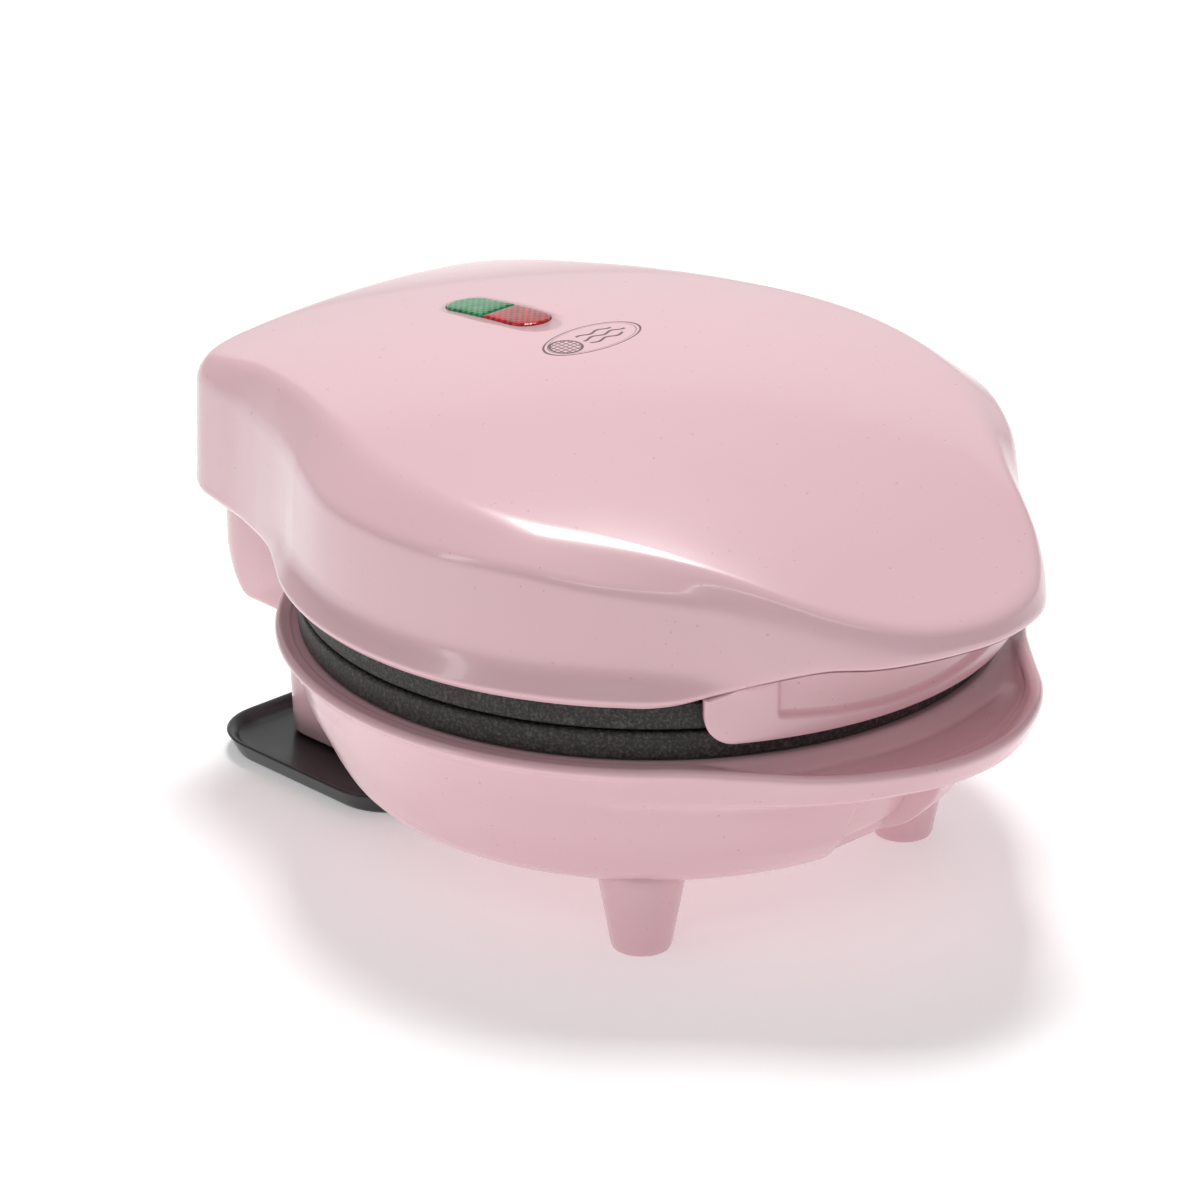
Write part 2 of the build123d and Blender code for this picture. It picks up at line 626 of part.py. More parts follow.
WIRE_R = 1.1
START, END = TERMINALS
wire("live_wire", ((-9, BLOCK_FRONT, 22), (-9, 36, 22), (START[0], 36, 22), (START[0], START[1], 22),
                   (START[0], START[1], 26.8)), 1.4, WIRE_R)
wire("fuse_wire", ((4.8, 18, 27.2), (0, 18, 27.2), (0, 18, 22), (0, BLOCK_FRONT, 22)), 2.0, WIRE_R)
wire("neutral_wire", ((28.2, 18, 27.2), (32, 18, 27.2), (32, 30, 24), (9, 34, 22), (9, BLOCK_FRONT, 22)),
     1.6, WIRE_R)
wire("hinge_wire", ((-9, BLOCK_FRONT + 7.6, 22), (-9, 62, 22), (-18, 68, 28), (-18, 74, 38), (-18, HINGE_Y, 44),
                    (-18, HINGE_Y, HINGE_Z), (-27.8, HINGE_Y, HINGE_Z)), 2.0, WIRE_R)

# -------------------------------------------------------------- indicator lamps
with BuildPart() as lens_blank:
    with BuildSketch(Plane.XY.offset(103.2)):
        with Locations((0, LENS_Y)):
            SlotOverall(LENS_LONG, LENS_WIDE, rotation=90)
    extrude(amount=10)
    add(space_above_crown(-0.6), mode=Mode.SUBTRACT)

for name, place in (("green_lens", 1), ("red_lens", -1)):
    with BuildPart() as lens:
        add(lens_blank.part)
        with Locations((0, LENS_Y - place * (LENS_LONG / 2 - 0.1), 105)):
            Box(20, LENS_LONG, 20, mode=Mode.SUBTRACT)
    save(lens, name)

with BuildPart() as lamp_holder:
    with Locations((0, LENS_Y, 97)):
        Box(14, 32, 9)
    with Locations((0, LENS_Y, 97.1)):
        Box(7, 46, 1.8)
    with Locations((0, LENS_Y - 7.2, 98.6), (0, LENS_Y + 7.2, 98.6)):
        Box(9, 12.4, 9, mode=Mode.SUBTRACT)
    with Locations((0, LENS_Y - 20, 97), (0, LENS_Y + 20, 97)):
        Cylinder(1.3, 6, mode=Mode.SUBTRACT)
save(lamp_holder, "lamp_holder")

for name, y in (("green_lamp", LENS_Y + 7.2), ("red_lamp", LENS_Y - 7.2)):
    with BuildPart() as lamp:
        with BuildSketch(Plane.YZ.offset(-4.2)):
            with Locations((y, 97)):
                Circle(2.4)
        extrude(amount=8.4)
        fillet(lamp.edges().filter_by(GeomType.CIRCLE), 1.0)
    save(lamp, name)

wire("lid_wire", ((-27.8, HINGE_Y - 5.2, 66), (-22, HINGE_Y - 5.2, 66), (-22, HINGE_Y - 5.2, 90),
                  (START[0], START[1] + 6, 90), (START[0], START[1], 90), (START[0], START[1], 88.7)), 1.2, WIRE_R)
wire("lamp_wire", ((END[0], END[1], 88.7), (END[0], END[1], 91), (END[0], LENS_Y, 91), (0, LENS_Y, 91),
                   (0, LENS_Y, 92.4)), 0.6, WIRE_R)
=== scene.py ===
"""Round mini waffle maker: pink glossy shells round two black non-stick plates.

Metres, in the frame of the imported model: the floor is z = 0, the tongue points
to -Y and the hinge is at +Y. Tables of sizes are in millimetres.
"""
import json

import bmesh
import bpy
import numpy as np
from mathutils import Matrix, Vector


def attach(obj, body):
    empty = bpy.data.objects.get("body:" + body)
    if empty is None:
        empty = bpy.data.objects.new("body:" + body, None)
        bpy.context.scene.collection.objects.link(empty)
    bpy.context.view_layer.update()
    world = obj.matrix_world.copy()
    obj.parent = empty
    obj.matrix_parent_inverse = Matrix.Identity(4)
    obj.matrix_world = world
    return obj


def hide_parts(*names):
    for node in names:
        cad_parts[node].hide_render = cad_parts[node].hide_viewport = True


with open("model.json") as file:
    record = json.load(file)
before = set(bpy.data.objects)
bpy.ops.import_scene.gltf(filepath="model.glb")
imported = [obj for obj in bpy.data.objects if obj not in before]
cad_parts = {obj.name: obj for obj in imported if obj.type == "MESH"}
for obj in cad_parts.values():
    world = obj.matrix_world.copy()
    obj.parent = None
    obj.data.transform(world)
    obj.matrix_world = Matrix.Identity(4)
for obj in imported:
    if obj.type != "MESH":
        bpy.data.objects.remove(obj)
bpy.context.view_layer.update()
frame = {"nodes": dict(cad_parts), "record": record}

# ------------------------------------------------------------------ camera, room
# A long lens from the front left, a little above the object. The room is a pale
# floor under an even white sky, with four soft boxes.
AIM = Vector((-0.0012, 0.01428, 0.050))
camera = bpy.data.objects.new("camera", bpy.data.cameras.new("camera"))
bpy.context.scene.collection.objects.link(camera)
camera.location = (-0.82486, -0.84762, 0.56837)
camera.rotation_euler = (AIM - camera.location).to_track_quat("-Z", "Y").to_euler()
camera.data.lens = 182.4
camera.data.clip_end = 20
bpy.context.scene.camera = camera
bpy.context.scene.view_settings.view_transform = "Standard"


class Value:
    """A shader socket that takes part in sums: each operator adds its Math node."""

    def __init__(self, finish, socket):
        self.finish, self.socket = finish, socket

    def _sum(self, operation, *terms):
        return self.finish.node("Math", {"operation": operation}, dict(enumerate(terms)))

    def __add__(self, other):
        return self._sum("ADD", self, other)

    def __radd__(self, other):
        return self._sum("ADD", other, self)

    def __sub__(self, other):
        return self._sum("SUBTRACT", self, other)

    def __rsub__(self, other):
        return self._sum("SUBTRACT", other, self)

    def __mul__(self, other):
        return self._sum("MULTIPLY", self, other)

    def __rmul__(self, other):
        return self._sum("MULTIPLY", other, self)

    def __truediv__(self, other):
        return self._sum("DIVIDE", self, other)

    def __pow__(self, other):
        return self._sum("POWER", self, other)

    def __abs__(self):
        return self._sum("ABSOLUTE", self)

    def greatest(self, other):
        return self._sum("MAXIMUM", self, other)

    def least(self, other):
        return self._sum("MINIMUM", self, other)

    def wave(self):
        return self._sum("SINE", self)

    def ramp(self, start, end):
        """0 at start and 1 at end, with a smooth step between them."""
        return self.finish.node("MapRange", {"interpolation_type": "SMOOTHSTEP"},
                                {"Value": self, "From Min": start, "From Max": end})


def colour(red, green, blue):
    """Screen values from 0 to 255 as the linear colour that a shader takes."""
    screen = np.array((red, green, blue)) / 255
    linear = np.where(screen > 0.04045, ((screen + 0.055) / 1.055) ** 2.4, screen / 12.92)
    return (*linear.tolist(), 1.0)


class Finish:
    """One material made of nodes. Plain settings of the shader are given by name."""

    def __init__(self, name, **plain):
        self.material = bpy.data.materials.new(name)
        self.material.use_nodes = True
        self.tree = self.material.node_tree
        self.shader = self.tree.nodes["Principled BSDF"]
        for key, value in plain.items():
            self.shader.inputs[key.replace("_", " ")].default_value = value

    def node(self, kind, settings=None, inputs=None, output=0):
        made = self.tree.nodes.new("ShaderNode" + kind)
        for key, value in (settings or {}).items():
            setattr(made, key, value)
        for key, value in (inputs or {}).items():
            self.feed(made.inputs[key], value)
        return Value(self, made.outputs[output])

    def feed(self, socket, value):
        if isinstance(value, Value):
            self.tree.links.new(value.socket, socket)
        else:
            socket.default_value = value

    def give(self, **sockets):
        """Feed the shader's own sockets."""
        for key, value in sockets.items():
            self.feed(self.shader.inputs[key.replace("_", " ")], value)

    def place(self):
        """The point of the surface in the object's frame, and its three coordinates."""
        point = self.node("TexCoord", output=3)
        split = self.node("SeparateXYZ", inputs={0: point})
        outputs = split.socket.node.outputs
        return (point, *(Value(self, outputs[k]) for k in range(3)))

    def noise(self, point, scale, detail=2.0, roughness=0.5):
        return self.node("TexNoise", inputs={"Vector": point, "Scale": scale, "Detail": detail,
                                             "Roughness": roughness})

    def blend(self, share, first, second):
        """A colour between two others."""
        return self.node("Mix", {"data_type": "RGBA"}, {"Factor": share, 6: first, 7: second}, output=2)

    def bump(self, height, strength, distance):
        return self.node("Bump", inputs={"Height": height, "Strength": strength, "Distance": distance})


WHITE = (1.0, 1.0, 1.0, 1.0)
FLOOR_HALF = 6
floor_finish = Finish("studio_floor", Roughness=0.75, Emission_Color=WHITE, Emission_Strength=0.30)
floor_point, *_ = floor_finish.place()
floor_finish.give(Base_Color=floor_finish.blend(floor_finish.noise(floor_point, 3.0),
                                                colour(246, 246, 246), colour(250, 250, 250)))
floor_mesh = bpy.data.meshes.new("floor")
floor_mesh.from_pydata([(FLOOR_HALF * x, FLOOR_HALF * y, 0) for x, y in ((-1, -1), (1, -1), (1, 1), (-1, 1))],
                       [], [(0, 1, 2, 3)])
floor_mesh.materials.append(floor_finish.material)
floor = bpy.data.objects.new("floor", floor_mesh)
bpy.context.scene.collection.objects.link(floor)

sky = bpy.data.worlds.new("sky")
sky.use_nodes = True
sky.node_tree.nodes["Background"].inputs["Color"].default_value = WHITE
sky.node_tree.nodes["Background"].inputs["Strength"].default_value = 0.27
bpy.context.scene.world = sky
LIT_POINT = Vector((0, 0, 0.06))
SOFT_BOXES = (("top_box", (0.24, 0.26, 1.25), (0.34, 0.34), 10.5),
              ("back_box", (1.45, 1.55, 0.75), (2.4, 1.3), 3.6),
              ("strip_box", (-0.85, -0.80, 1.10), (0.9, 0.08), 1.2),
              ("left_box", (-1.25, 0.35, 0.55), (0.14, 0.7), 1.2))
for name, place, size, power in SOFT_BOXES:
    box = bpy.data.lights.new(name, "AREA")
    box.shape = "RECTANGLE"
    box.size, box.size_y = size
    box.energy = power
    holder = bpy.data.objects.new(name, box)
    bpy.context.scene.collection.objects.link(holder)
    holder.location = place
    holder.rotation_euler = (LIT_POINT - Vector(place)).to_track_quat("-Z", "Y").to_euler()

# --------------------------------------------------------------------- lid shell
# The upper shell: injection moulded pink plastic with a high gloss, in one piece
# with the tongue and the square hood over the hinge. Its crown is nearly flat, and
# a sharp shoulder runs round it.
MM = 0.001
TURNS = np.radians(np.arange(0, 360, 0.5))    # the columns of every ring, from the front
WALL = 2.8
REAR_LIMIT = 99.9                             # the lid's flat rear face
EDGE = ((0, -98.6), (9, -97.4), (17, -94), (24, -88.5), (30, -82), (41, -65), (52.6, -45), (63.5, -25),
        (67.7, -4), (65.7, 15), (59, 35), (52, 55), (46, 75), (43.4, 88), (40.5, 94.6), (34.5, 97.6),
        (26, 98.1), (0, 98.2))
SHOULDER = ((0, -99.6, 78.3), (9, -98.5, 78.4), (17.3, -95.2, 78.9), (24.6, -89.7, 79.8), (31, -83, 81.2),
            (38, -73.5, 83.3), (44.5, -64.5, 85.8), (51.5, -57.2, 87.6), (62, -45.7, 89.8),
            (69.5, -33.2, 91.8), (74.8, -18.2, 92), (77, 0, 92), (74.9, 18, 92), (66.5, 37, 91.8),
            (60.8, 47.5, 91.5), (55.4, 59, 91.3), (52, 68, 91.2), (49.2, 77, 91), (47.4, 86, 91),
            (45.8, 92, 91), (42.6, 96.9, 91), (37.5, 99.1, 91), (30, 99.6, 91), (0, 99.7, 91))
WALL_FOOT = ((0, -100, 77.6), (9, -98.8, 77.5), (17.6, -95.6, 77), (25, -90, 76), (31.4, -83.2, 75.4),
             (38.4, -73.6, 73), (44.5, -64.5, 70.5), (50.5, -58, 70.8), (60.5, -47, 71.5),
             (69.3, -33, 71.5), (74.5, -18, 71.5), (76.6, 0, 71.5), (74.5, 18, 71.5), (66.5, 38, 71.5),
             (61, 48, 71), (56.5, 58.5, 70), (52.6, 68.5, 69), (50, 77, 68.5), (48, 86, 68),
             (46.5, 92, 68), (43.2, 97, 68), (38, 99.3, 68), (30, 99.9, 68), (0, 100, 68))
LIP = ((0, -99.8, 76.2), (9, -98.6, 76.1), (17.4, -95.4, 75.6), (24.8, -89.9, 74.6), (31.2, -83.1, 74),
       (38, -73.9, 70.9), (44.4, -65.6, 67.6), (51.5, -60.5, 66.2), (61.3, -51.4, 66.2),
       (69.3, -40, 66.2), (75.2, -27.4, 66.2), (78.8, -13.9, 66.2), (80, 0, 66.2), (78.8, 13.9, 66.2),
       (75.2, 27.4, 66.2), (69.3, 40, 66.2), (63, 49.3, 66.2), (57, 58.5, 65.8), (52.8, 68.5, 65.6),
       (50.2, 77, 65.6), (48.3, 86, 65.6), (46.7, 92, 65.6), (43.4, 97.1, 66.8), (38, 99.4, 67.2),
       (30, 100, 67.2), (0, 100, 67.2))
WINDOW_Y, WINDOW_LONG, WINDOW_WIDE = 47.0, 28.6, 10.6
CROWN_TOP, CROWN_Y = 108.2, 18.0              # height and place of the crown's highest point
TONGUE_LIFT_Y = -80.0
ORNAMENT_Y = 19.0


def crown(x, y):
    """Height of the crown: a parabola along Y, flatter behind its top, minus a parabola
    across X, with a slight lift at the tongue's tip. Millimetres."""
    fall = np.where(y > CROWN_Y, 0.00175, 0.00212)
    lift = 0.006 * np.maximum(0, TONGUE_LIFT_Y - y) ** 2
    return CROWN_TOP - fall * (y - CROWN_Y) ** 2 - x ** 2 / 650 + lift


def eased(share):
    """A share held between 0 and 1, with a smooth start and end."""
    share = np.clip(share, 0, 1)
    return share ** 2 * (3 - 2 * share)


def smooth_through(knots, values, at):
    """Cubic Hermite curve through values at the knots. Each slope is the mean of the
    slopes on its two sides, weighted by the other side's length."""
    steps = np.diff(knots)
    slopes = np.diff(values) / steps
    inner = (slopes[:-1] * steps[1:] + slopes[1:] * steps[:-1]) / (steps[:-1] + steps[1:])
    slope = np.concatenate(([slopes[0]], inner, [slopes[-1]]))
    span = np.clip(np.searchsorted(knots, at) - 1, 0, len(steps) - 1)
    t = (at - knots[span]) / steps[span]
    return ((1 + 2 * t) * (1 - t) ** 2 * values[span] + t * (1 - t) ** 2 * steps[span] * slope[span]
            + t * t * (3 - 2 * t) * values[span + 1] + t * t * (t - 1) * steps[span] * slope[span + 1])


def around(table, turns=TURNS):
    """Closed curve round the axis through the table's points and their mirror images:
    distance and height are smooth functions of the angle from the front. Returns x, y, z."""
    points = np.array([(*p, 0.0)[:3] for p in table])
    knots = np.arctan2(points[:, 0], -points[:, 1])
    knots[0], knots[-1] = 0.0, np.pi
    reach = np.hypot(points[:, 0], points[:, 1])
    knots = np.concatenate(([-knots[1]], knots, [2 * np.pi - knots[-2]]))
    angle = np.mod(turns, 2 * np.pi)
    folded = np.where(angle > np.pi, 2 * np.pi - angle, angle)
    distance, height = (smooth_through(knots, np.concatenate(([v[1]], v, [v[-2]])), folded)
                        for v in (reach, points[:, 2]))
    back = np.minimum(-distance * np.cos(angle), REAR_LIMIT)
    return np.stack((distance * np.sin(angle), back, height), axis=1)


def polar(distance, height, turns=TURNS):
    """A ring from its distances and heights at the given angles."""
    blank = np.zeros_like(turns)
    return np.stack(((distance + blank) * np.sin(turns), -(distance + blank) * np.cos(turns), height + blank),
                    axis=1)


def inset(ring, amount, height=None):
    """The ring moved inwards in plan, square to its own direction."""
    along = np.roll(ring, -1, 0) - np.roll(ring, 1, 0)
    length = np.hypot(along[:, 0], along[:, 1])
    moved = ring.copy()
    moved[:, 0] -= amount * along[:, 1] / length
    moved[:, 1] += amount * along[:, 0] / length
    if height is not None:
        moved[:, 2] = height
    return moved


def rounded(stations, reaches, steps=6):
    """Rows from one station to the next, column by column. Each inner station becomes a
    quadratic Bezier curve that starts and ends the given distance away on its two legs."""
    def towards(corner, leg, reach):
        share = reach / np.linalg.norm(leg, axis=1, keepdims=True).clip(1e-9)
        return corner + leg * np.minimum(share, 0.48)

    rows = [stations[0]]
    for before, corner, after, reach in zip(stations, stations[1:], stations[2:], reaches):
        start, end = towards(corner, before - corner, reach), towards(corner, after - corner, reach)
        rows += [(1 - t) ** 2 * start + 2 * t * (1 - t) * corner + t * t * end
                 for t in np.linspace(0, 1, steps)]
    rows.append(stations[-1])
    return np.array(rows)


def add_piece(name, points, faces, finish, body):
    """A smooth mesh from points in millimetres, with its faces turned outwards, that rides
    on a body."""
    mesh = bpy.data.meshes.new(name)
    mesh.from_pydata((points * MM).tolist(), [], faces)
    work = bmesh.new()
    work.from_mesh(mesh)
    bmesh.ops.recalc_face_normals(work, faces=work.faces)
    work.to_mesh(mesh)
    work.free()
    mesh.shade_smooth()
    mesh.materials.append(finish.material)
    piece = bpy.data.objects.new(name, mesh)
    bpy.context.scene.collection.objects.link(piece)
    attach(piece, body)
    return piece


def skin(name, rows, finish, body, ring=True, loop=False, first=None, last=None, caps=False):
    """Mesh of a grid of points, in millimetres. ring joins the last column to the first
    and loop the last row to the first; first and last are the poles that close the ends,
    and caps closes the two end columns."""
    count, width = rows.shape[:2]
    points = rows.reshape(-1, 3)
    index = np.arange(count * width).reshape(count, width)
    high = np.vstack((index, index[:1])) if loop else index
    full = np.hstack((high, high[:, :1])) if ring else high
    quads = np.stack((full[:-1, :-1], full[1:, :-1], full[1:, 1:], full[:-1, 1:]), axis=-1).reshape(-1, 4)
    faces = quads.tolist()
    for pole, edge in ((first, index[0]), (last, index[-1])):
        if pole is not None:
            points = np.vstack((points, pole))
            tip = len(points) - 1
            faces += [(tip, a, b) for a, b in zip(edge.tolist(), np.roll(edge, -1).tolist())]
    if caps:
        faces += [index[:, 0].tolist(), index[:, -1].tolist()]
    return add_piece(name, points, faces, finish, body)


def stadium(turns, long, wide):
    """Distance from the centre to the edge of a stadium that lies along Y: its straight
    sides are lines at half its width, its ends are half circles."""
    side, along = np.abs(np.sin(turns)), np.abs(np.cos(turns))
    radius = wide / 2
    centre = long / 2 - radius
    flat = radius / np.maximum(side, 1e-9)
    end = centre * along + np.sqrt(np.maximum(radius ** 2 - (centre * side) ** 2, 0))
    return np.where(flat * along <= centre, flat, end)


def ornament(made, x, y):
    """Where the printed ornament lies, 1 on its lines: a thin oval, drawn twice, round a
    small round waffle with its grid and three long waves that stand for steam."""
    across, along = x / MM, y / MM - ORNAMENT_Y
    u, v = (across - 1.0) / 13.0, along / 6.4
    oval = (u * u + v * v) ** 0.5
    lines = 1.0 - abs(oval - 0.985).ramp(0.016, 0.030)
    lines = lines.greatest(1.0 - abs(oval - 0.90).ramp(0.004, 0.012))
    p = across + 6.6
    disc = (p * p + along * along) ** 0.5
    inside = 1.0 - disc.ramp(3.25, 3.35)
    grid = (abs((p * 2.6).wave())).least(abs((along * 2.6).wave()))
    lines = lines.greatest((1.0 - grid.ramp(0.28, 0.44)) * inside)
    lines = lines.greatest(1.0 - abs(disc - 3.5).ramp(0.22, 0.34))
    for rise, start, end in ((2.2, -1.4, 8.2), (0.0, -1.8, 10.2), (-2.2, -1.4, 8.2)):
        bend = 0.42 * (across * 1.15 + rise).wave() + rise
        stroke = 1.0 - abs(along - bend).ramp(0.26, 0.42)
        begun, over = across.ramp(start - 0.2, start + 0.2), across.ramp(end - 0.2, end + 0.2)
        lines = lines.greatest(stroke * begun * (1.0 - over))
    return lines


def pink(name, deep=False, printed=False):
    """Glossy moulded plastic: a clear gloss over pink, with a faint swell in the surface,
    cloudy colour and a few fine specks. deep is the same plastic inside the shells, and
    printed adds the ornament in dark brown ink."""
    made = Finish(name, Coat_Weight=0.35, Coat_Roughness=0.06, Specular_IOR_Level=0.5)
    point, x, y, z = made.place()
    tint = made.blend(made.noise(point, 18.0, 3.0), colour(240, 197, 204), colour(243, 203, 210))
    speck = made.noise(point, 900.0, 1.0).ramp(0.745, 0.80)
    tint = made.blend(speck * 0.35, tint, colour(176, 120, 130))
    if printed:
        tint = made.blend(0.92 * ornament(made, x, y) * z.ramp(0.100, 0.102), tint, colour(84, 44, 44))
    made.give(Base_Color=tint)
    made.give(Roughness=0.20 + 0.07 * made.noise(point, 60.0) + (0.2 if deep else 0.0))
    swell = made.noise(point, 260.0, 2.0) + 2.0 * made.noise(point, 45.0, 1.0)
    made.give(Normal=made.bump(swell, 0.06, 0.0002))
    return made


window = np.stack((stadium(TURNS, WINDOW_LONG, WINDOW_WIDE) * np.sin(TURNS),
                   WINDOW_Y - stadium(TURNS, WINDOW_LONG, WINDOW_WIDE) * np.cos(TURNS)), axis=1)
edge = around(EDGE)[:, :2]
shoulder, wall_foot, lip = around(SHOULDER), around(WALL_FOOT), around(LIP)


def crown_rings(shares, outline, drop):
    """Rings on the crown between the window and the outline, lowered by drop."""
    flat = [window + (outline - window) * share for share in shares]
    return [np.column_stack((xy, crown(xy[:, 0], xy[:, 1]) - drop)) for xy in flat]


def lip_drop(turns):
    """How far the lip's underside lies below its outer edge: least at the tongue."""
    from_front = 180 - np.abs(180 - np.degrees(np.mod(turns, 2 * np.pi)))
    return np.interp(from_front, (0, 30, 45, 140, 155, 180), (0.35, 0.5, 1.7, 1.7, 1.2, 1.2))


lip_low = lip[:, 2] - lip_drop(TURNS)
outer = crown_rings(np.linspace(0, 0.90, 22), edge, 0)
inner_edge = inset(np.column_stack((edge, edge[:, 0] * 0)), 3.4)[:, :2]
inner = crown_rings(np.linspace(0.92, 0, 14), inner_edge, WALL)
lid_path = rounded([outer[-1], *crown_rings([1], edge, 0), shoulder, wall_foot, lip,
                    inset(lip, 1.4, lip_low), inset(wall_foot, WALL, lip_low), inset(wall_foot, WALL),
                    inset(shoulder, WALL, shoulder[:, 2] - 0.8), *crown_rings([1], inner_edge, WALL),
                    inner[0]],
                   (3.2, 2.2, 2.4, 0.9, 0.5, 0.3, 1, 1, 1))
lid_pink = pink("pink_gloss_lid", printed=True)
lid_shell = skin("lid_shell", np.concatenate((outer[:-1], lid_path, inner[1:])), lid_pink,
                 "lid", loop=True)
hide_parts("lid_cover")

# two webs under the hood carry the knuckles that turn on the pivots
HINGE_Y, HINGE_Z, KNUCKLE_R, WEB_HALF, WEB_TOP = 82.0, 54.0, 6.0, 5.0, 43.5
PIVOT_BORE = 3.6
ARM_SECTION = ((28.2, -0.5), (28.5, -0.1), (28.8, 0), (32.6, 0), (32.9, -0.1), (33.2, -0.5))
inner_pink = pink("pink_gloss_inside", deep=True)
spokes = np.radians(np.arange(0, 360, 2.5))
upwards = np.sin(spokes)
web = np.minimum(WEB_HALF / np.abs(np.cos(spokes)).clip(1e-6), WEB_TOP / upwards.clip(1e-6))
arm_outline = np.where(upwards > 0, np.maximum(KNUCKLE_R, web), KNUCKLE_R)
for side, name in ((-1, "left"), (1, "right")):
    sections = [(x, arm_outline + grow) for x, grow in ARM_SECTION]
    sections += [(x, np.full_like(spokes, PIVOT_BORE)) for x in (ARM_SECTION[-1][0], ARM_SECTION[0][0])]
    arm_rows = [np.stack((np.full_like(spokes, side * x), HINGE_Y + reach * np.cos(spokes),
                          HINGE_Z + reach * upwards), axis=1) for x, reach in sections]
    skin(f"hinge_arm_{name}", np.array(arm_rows), inner_pink, "lid", loop=True)

# ------------------------------------------------------------------------- apron
# A second pink moulding closes the tongue from below and hangs in front of the
# plates as a curved skirt. Its middle is set back, so that fingers find a hold.
APRON_HALF, SKIRT_R, SKIRT_INNER, SKIRT_LOW, CORNER = np.radians(36.3), 78.6, 75.7, 55.6, 6.5
RECESS_HALF, RECESS_DEPTH = 33.0, 1.6
sweep = APRON_HALF * np.sin(np.linspace(-np.pi / 2, np.pi / 2, 241))
tongue_wall = np.hypot(*around(WALL_FOOT, sweep)[:, :2].T)
tongue_low = around(LIP, sweep)[:, 2] - lip_drop(sweep) - 0.12
from_end = SKIRT_R * (APRON_HALF - np.abs(sweep))
bottom = SKIRT_LOW + CORNER - np.sqrt(CORNER ** 2 - np.maximum(CORNER - from_end, 0) ** 2)
skirt = SKIRT_R - 0.9 + 0.9 * np.sqrt(1 - np.maximum(1 - from_end, 0) ** 2)
across = np.abs(SKIRT_R * np.sin(sweep))
recess_wall = skirt - RECESS_DEPTH * eased(RECESS_HALF + 0.5 - across)
ledge = 59.0 + 2.4 * (across / RECESS_HALF) ** 2
root = np.maximum(tongue_wall - 1.0, recess_wall + 0.3)
under = tongue_low - 0.15 * (root - recess_wall) - 0.8
ledge = np.minimum(ledge, under - 0.6)
apron_rows = rounded([polar(d, z, sweep) for d, z in (
    (root, tongue_low), (recess_wall, under), (recess_wall, ledge), (skirt, ledge - 0.7),
    (skirt - 0.1, bottom), (SKIRT_INNER + 0.1, bottom + 0.2),
    (SKIRT_INNER, np.maximum(under + 1.6, bottom + 1)),
    (np.maximum(tongue_wall - 3.5, 76.2), tongue_low + 1.4),
    (np.maximum(tongue_wall - 3.3, 76.4), tongue_low))], (2.5, 0.8, 0.7, 1.2, 0.5, 0.3, 0.2), steps=5)
apron = skin("front_apron_skirt", apron_rows, pink("pink_gloss_apron"), "lid",
             ring=False, loop=True, caps=True)
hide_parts("front_apron")

# --------------------------------------------------------------- indicator lenses
# A two-part lens of clear coloured plastic, green at the rear and red at the front,
# with a fine pattern of prisms inside. A dark ring round it is painted shade: it
# stands for the shadow in the thin gap between the lens and the lid.
LENS_LONG, LENS_WIDE = 28.0, 10.0
LENS_SECTION = ((0.98, -2.4), (1.0, -2.2), (1.0, 0.0), (0.985, 0.22), (0.95, 0.36), (0.88, 0.46),
                (0.7, 0.52), (0.45, 0.545), (0.2, 0.55))    # share of the outline, rise over the crown
LENS_LOW, LENS_RISE = LENS_SECTION[0][1], LENS_SECTION[-1][1]
PRISM_TURNS = 3600.0                          # radians per metre


def lens_outline(share, end):
    """Half of the stadium on one side of its middle, shrunk towards its own middle."""
    spins = np.radians(np.arange(0, 360, 3))
    radius = LENS_WIDE / 2
    centre = LENS_LONG / 4
    x, y = np.sin(spins), -np.cos(spins)
    straight = radius / np.maximum(np.abs(x), 1e-9)
    back = np.minimum((centre - 0.08) / np.maximum(-y, 1e-9), straight)
    reach = centre - radius
    curve = reach * y + np.sqrt(np.maximum(radius ** 2 - (reach * x) ** 2, 0))
    front = np.where(straight * y <= reach, straight, curve)
    size = np.where(y < 0, back, front) * share
    return x * size, WINDOW_Y + end * (centre + y * size)


for name, end, light, dark in (("green", 1, (18, 176, 98), (0, 84, 50)),
                               ("red", -1, (222, 30, 34), (104, 4, 10))):
    lens_rows = []
    for share, rise in LENS_SECTION:
        x, y = lens_outline(share, end)
        lens_rows.append(np.column_stack((x, y, crown(x, y) + rise)))
    middle = WINDOW_Y + end * LENS_LONG / 4
    poles = [(0.0, middle, float(crown(0.0, middle)) + rise) for rise in (LENS_LOW, LENS_RISE)]
    glass = Finish(f"{name}_lens_plastic", Roughness=0.08, Coat_Weight=0.6, Coat_Roughness=0.03,
                   Specular_IOR_Level=0.6)
    point, px, py, _ = glass.place()
    prisms = (px * PRISM_TURNS).wave() * (py * PRISM_TURNS).wave()
    cloud = glass.noise(point, 330.0, 3.0)
    shade = (0.5 + 0.28 * prisms + 0.9 * (cloud - 0.5)).ramp(0.1, 0.95)
    glass.give(Base_Color=glass.blend(shade, colour(*dark), colour(*light)),
               Normal=glass.bump(prisms, 0.12, 0.0002))
    lens = skin(f"{name}_lens_dome", np.array(lens_rows), glass, "lid",
                first=poles[0], last=poles[1])
    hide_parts(f"{name}_lens")
